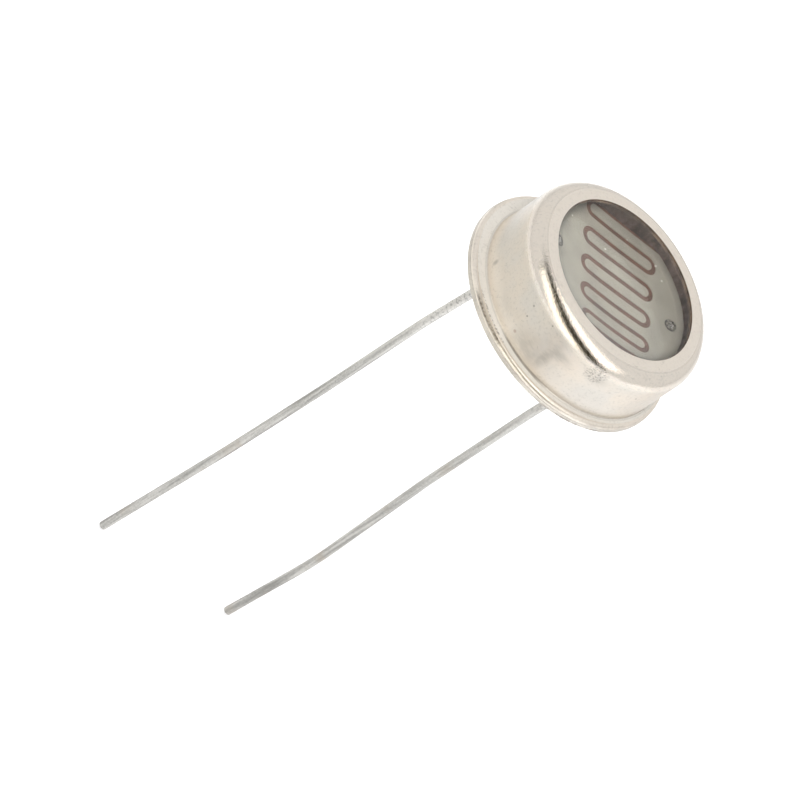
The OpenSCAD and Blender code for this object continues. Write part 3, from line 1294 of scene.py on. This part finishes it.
@dataclass
class Leads:
    """The two wires, straight through the header and slightly bent below it."""

    radius: float = LEAD_R
    lead_x: float = LEAD_X
    top: float = 3.8
    lean: float = 149.0
    bend_r: float = 45.0
    left_runs: tuple[float, ...] = (4.0, 8.0, 8.0, 10.9)
    right_runs: tuple[float, ...] = (4.0, 8.0, 8.0, 6.1)
    left_turns: tuple[float, ...] = (2.59, -1.92, 0.76, 1.06)
    right_turns: tuple[float, ...] = (2.89, -2.8, -1.65, 4.62)
    cut: float = 0.07
    corners: int = 28
    run_steps: int = 6
    bend_steps: int = 8

    def wire(self, side: Side, runs: Sequence[float], turns: Sequence[float]) -> Shape:
        """Draws one wire out from a ring.

        Args:
            side: Which end of the cell.
            runs: Length of each straight run.
            turns: Turn before each run in degrees.

        Returns:
            The wire's shape.
        """
        shape = Shape()
        end_r = self.radius - self.cut
        start = Vector((side.value * self.lead_x, 0.0, self.top))
        made = bmesh.ops.create_circle(shape.bm, cap_ends=True, radius=end_r, segments=self.corners)
        verts = made["verts"]
        ring = list({edge for vert in verts for edge in vert.link_edges})
        bmesh.ops.translate(shape.bm, verts=verts, vec=start)
        at = Matrix.Translation(start) @ Matrix.Rotation(math.radians(self.lean), 4, "Z")
        ring = self.swell(shape, ring, at, self.radius / end_r, self.cut)
        at = at @ Matrix.Translation((0.0, 0.0, -self.cut))
        ring = self.run(shape, ring, at, self.top - self.cut)
        at = at @ Matrix.Translation((0.0, 0.0, self.cut - self.top))
        for index, (length, turn) in enumerate(zip(runs, turns)):
            ring, at = self.bend(shape, ring, at, turn)
            if index + 1 == len(runs):
                length -= self.cut
            step = length / self.run_steps
            for _ in range(self.run_steps):
                ring = self.run(shape, ring, at, step)
                at = at @ Matrix.Translation((0.0, 0.0, -step))
        ring = self.swell(shape, ring, at, end_r / self.radius, self.cut)
        bmesh.ops.contextual_create(shape.bm, geom=ring)
        return shape.tidy()

    def run(self, shape: Shape, ring: list, at: Matrix, length: float) -> list:
        """Draws the ring straight on.

        Args:
            shape: The wire so far.
            ring: Edges of its open end.
            at: Where the end is and how it is turned.
            length: How far to draw it.

        Returns:
            Edges of the new end.
        """
        grown = bmesh.ops.extrude_edge_only(shape.bm, edges=ring)["geom"]
        verts = [item for item in grown if isinstance(item, bmesh.types.BMVert)]
        bmesh.ops.translate(shape.bm, verts=verts, vec=at.to_3x3() @ Vector((0.0, 0.0, -length)))
        return [item for item in grown if isinstance(item, bmesh.types.BMEdge)
                and item.verts[0] in verts and item.verts[1] in verts]

    def swell(self, shape: Shape, ring: list, at: Matrix, factor: float, length: float) -> list:
        """Draws the ring on while it widens or narrows, for a rounded cut end.

        Args:
            shape: The wire so far.
            ring: Edges of its open end.
            at: Where the end is and how it is turned.
            factor: How much wider the new end is.
            length: How far to draw it.

        Returns:
            Edges of the new end.
        """
        ring = self.run(shape, ring, at, length)
        verts = list({vert for edge in ring for vert in edge.verts})
        centre = at @ Vector((0.0, 0.0, -length))
        bmesh.ops.scale(shape.bm, vec=(factor,) * 3, verts=verts, space=Matrix.Translation(-centre))
        return ring

    def bend(self, shape: Shape, ring: list, at: Matrix, turn: float) -> tuple[list, Matrix]:
        """Spins the ring through a bend.

        Args:
            shape: The wire so far.
            ring: Edges of its open end.
            at: Where the end is and how it is turned.
            turn: The turn in degrees.

        Returns:
            Edges of the new end, and where it is.
        """
        angle = -math.radians(turn)
        axis = at.to_3x3() @ Vector((0.0, 1.0, 0.0))
        centre = at @ Vector((math.copysign(self.bend_r, turn), 0.0, 0.0))
        swing = Matrix.Translation(centre) @ Matrix.Rotation(angle, 4, axis) @ Matrix.Translation(-centre)
        geom = ring + list({vert for edge in ring for vert in edge.verts})
        grown = bmesh.ops.spin(shape.bm, geom=geom, cent=centre, axis=axis, dvec=(0, 0, 0), angle=angle,
                               steps=self.bend_steps, use_merge=False, use_duplicate=False)
        new_ring = [item for item in grown["geom_last"] if isinstance(item, bmesh.types.BMEdge)]
        return new_ring, swing @ at

    def build(self) -> None:
        """Draws both wires."""
        finish = TinnedWire().material()
        left = self.wire(Side.LEFT, self.left_runs, self.left_turns)
        left.piece("lead_left_wire", [finish], Slot.LEAD, [Part.LEAD_LEFT])
        right = self.wire(Side.RIGHT, self.right_runs, self.right_turns)
        right.piece("lead_right_wire", [finish], Slot.LEAD, [Part.LEAD_RIGHT])


@dataclass(frozen=True)
class Lamp:
    """One soft panel of light."""

    name: str
    place: Spot
    size: tuple[float, float]
    power: float
    aim: Spot = (0.0, 0.0, 0.0)

    def build(self) -> bpy.types.Object:
        """Hangs the panel and turns it towards its aim.

        Returns:
            The lamp.
        """
        data = bpy.data.lights.new(self.name, "AREA")
        data.shape = "RECTANGLE"
        data.size, data.size_y = self.size
        data.energy = self.power
        made = bpy.data.objects.new(self.name, data)
        made.location = self.place
        made.rotation_euler = (Vector(self.aim) - Vector(self.place)).to_track_quat("-Z", "Y").to_euler()
        made.visible_glossy = False
        bpy.context.scene.collection.objects.link(made)
        return made


@dataclass(frozen=True)
class Card:
    """A strip of card, dark or bright, that only a first reflection shows.

    Each side is a row of directions, as azimuth and elevation in degrees, seen from the point near.
    """

    name: str
    one_side: tuple[Point, ...]
    other_side: tuple[Point, ...]
    tone: Colour
    glow: float = 1.0
    far: float = 0.4
    near: Spot = (0.0, 0.0, 0.0)
    second_bounce: Point = (1.2, 1.8)

    def corner(self, azimuth: float, elevation: float) -> Vector:
        """The card's corner in one direction.

        Args:
            azimuth: The direction's azimuth in degrees.
            elevation: Its elevation in degrees.

        Returns:
            The corner.
        """
        up, round_z = math.radians(elevation), math.radians(azimuth)
        way = Vector((math.cos(up) * math.cos(round_z), math.cos(up) * math.sin(round_z), math.sin(up)))
        return Vector(self.near) + way * self.far

    def build(self) -> bpy.types.Object:
        """Bridges the two sides and marks the card as stage.

        Returns:
            The card.
        """
        bm = bmesh.new()
        rails: list[bmesh.types.BMEdge] = []
        for side in (self.one_side, self.other_side):
            verts = [bm.verts.new(self.corner(*way)) for way in side]
            rails += [bm.edges.new(pair) for pair in zip(verts, verts[1:])]
        bmesh.ops.bridge_loops(bm, edges=rails)
        mesh = bpy.data.meshes.new(self.name)
        bm.to_mesh(mesh)
        bm.free()
        mix = Recipe(self.name)
        again = mix.ease(mix.ray("Ray Depth"), *self.second_bounce)
        once = mix.node("ShaderNodeEmission", {}, {"Color": self.tone, "Strength": self.glow})
        later = mix.node("ShaderNodeEmission", {}, {"Color": WHITE, "Strength": 1.0})
        mesh.materials.append(mix.end(mix.node("ShaderNodeMixShader", {}, {0: again, 1: once, 2: later})))
        made = bpy.data.objects.new(self.name, mesh)
        bpy.context.scene.collection.objects.link(made)
        for kind in ("camera", "diffuse", "transmission", "shadow", "volume_scatter"):
            setattr(made, "visible_" + kind, False)
        return made


@dataclass
class Studio:
    """Camera, floor, world, lamps and cards."""

    right: Spot = (0.74211, 0.14953, 0.65337)
    up: Spot = (-0.53348, 0.72192, 0.44071)
    forward: Spot = (0.40579, 0.67562, -0.61552)
    eye: Spot = (-0.166763, -0.275179, 0.237863)
    sensor: float = 36.0
    focal: float = 313.74
    clip: Point = (0.01, 20.0)
    floor_r: float = 4.0
    floor_gap: float = 0.0002
    mirrored: float = 0.8
    ambient: float = 0.44
    wall: Spot = (-0.0005, -0.0065, 0.0020)
    grey_wall: Spot = (-0.0028, -0.0060, 0.0020)
    wall_far: float = 0.05

    def camera(self) -> None:
        """Places the camera at the photograph's viewing angle."""
        data = bpy.data.cameras.new("camera")
        data.sensor_width = self.sensor
        data.lens = self.focal
        data.clip_start, data.clip_end = self.clip
        made = bpy.data.objects.new("camera", data)
        axes = Matrix((self.right, self.up, tuple(-x for x in self.forward))).transposed()
        made.matrix_world = Matrix.Translation(self.eye) @ axes.to_4x4()
        bpy.context.scene.collection.objects.link(made)
        bpy.context.scene.camera = made

    def floor(self) -> None:
        """Lays a wide round floor just under the lead tips."""
        mesh = bpy.data.meshes.new("floor")
        bm = bmesh.new()
        bmesh.ops.create_circle(bm, cap_ends=True, radius=self.floor_r, segments=96)
        bmesh.ops.translate(bm, verts=bm.verts, vec=(0.0, 0.0, CAD_BOX[0].z - self.floor_gap))
        bm.to_mesh(mesh)
        bm.free()
        mesh.materials.append(PaleFloor().material())
        made = bpy.data.objects.new("floor", mesh)
        bpy.context.scene.collection.objects.link(made)

    def world(self) -> None:
        """White to the camera, softer in reflections and softer still as a light."""
        bpy.context.scene.world = bpy.data.worlds.new("studio")
        mix = Recipe(bpy.context.scene.world)
        mirrored = (mix.ray("Is Glossy Ray") | mix.ray("Is Transmission Ray")) * self.mirrored
        strength = mix.ray("Is Camera Ray") | mirrored | self.ambient
        mix.end(mix.node("ShaderNodeBackground", {}, {"Color": WHITE, "Strength": strength}))

    def lamps(self) -> None:
        """Hangs the soft panels."""
        Lamp("key", (-0.25, -0.35, 0.55), (0.35, 0.35), 3.4).build()
        Lamp("fill", (-0.10, -0.10, 0.70), (0.4, 0.4), 1.2).build()
        Lamp("side", (0.50, -0.30, 0.10), (0.3, 0.3), 2.0).build()

    def shoulder_cards(self) -> None:
        """Stands the strips that the can's shoulder mirrors."""
        cream_edge = ((-169, 30), (-162, 29), (-151, 25), (-135, 10), (-121, -2), (-107, -6), (-99, -3))
        cream_dark = ((173, 58), (-171, 55), (-157, 51), (-135, 35), (-118, 22), (-104, 15), (-91, 3))
        dark_low = ((161, 54), (173, 58), *cream_dark[2:], (-79, -6), (-68, -7))
        dark_white = ((141, 78), (-143, 78), (-109, 63), (-92, 53), (-80, 40), (-72, 27), (-65, 16))
        white_edge = ((94, 75), (70, 78), (-45, 85), (-60, 74), (-57, 61), (-51, 51), (-43, 38))
        dark_high = ((138, 63), (106, 69), *dark_white)
        Card("dark_strip", dark_low, dark_high, (0.050, 0.044, 0.034)).build()
        Card("cream_strip", cream_edge, cream_dark, (1.0, 0.965, 0.85), 2.1, 0.41).build()
        Card("white_strip", dark_white, white_edge, (1.0, 0.98, 0.93), 2.2, 0.42).build()

    def wall_card(self, name: str, ways: Sequence[float], tone: Colour, glow: float, near: Spot,
                  top: float = -15.0) -> None:
        """Stands one card that the can's wall mirrors.

        Args:
            name: The card's name.
            ways: Azimuth of each of its corners in degrees.
            tone: Its colour.
            glow: How bright it is.
            near: The point on the wall that it stands round.
            top: Elevation of its upper side in degrees.
        """
        sides = [tuple((way, elevation) for way in ways) for elevation in (top, -55.0)]
        Card(name, *sides, tone, glow, self.wall_far, near).build()

    def wall_cards(self) -> None:
        """Stands the cards that give the can's wall its changes of tone."""
        self.wall_card("pale_card", (282, 300, 320, 340, 360), (0.96, 0.98, 1.0), 1.36, self.wall)
        self.wall_card("beige_card", (116, 150, 180, 210, 236), (0.93, 0.935, 0.905), 1.0, self.wall)
        self.wall_card("blue_card", (75, 90, 112), (0.94, 0.97, 1.0), 1.25, self.wall)
        self.wall_card("grey_card", (240, 262), (0.62, 0.625, 0.625), 1.0, self.grey_wall, -18.0)

    def build(self) -> None:
        """Sets the stage."""
        self.camera()
        self.floor()
        self.world()
        self.lamps()
        self.shoulder_cards()
        self.wall_cards()
        bpy.context.scene.view_settings.view_transform = "Standard"


def main() -> None:
    """Builds the stage and the part in order."""
    logging.basicConfig(level=logging.INFO)
    Studio().build()
    Can().build()
    Window().build()
    Cell().build()
    Header().build()
    Seals().build()
    Leads().build()


if __name__ == "__main__":
    main()
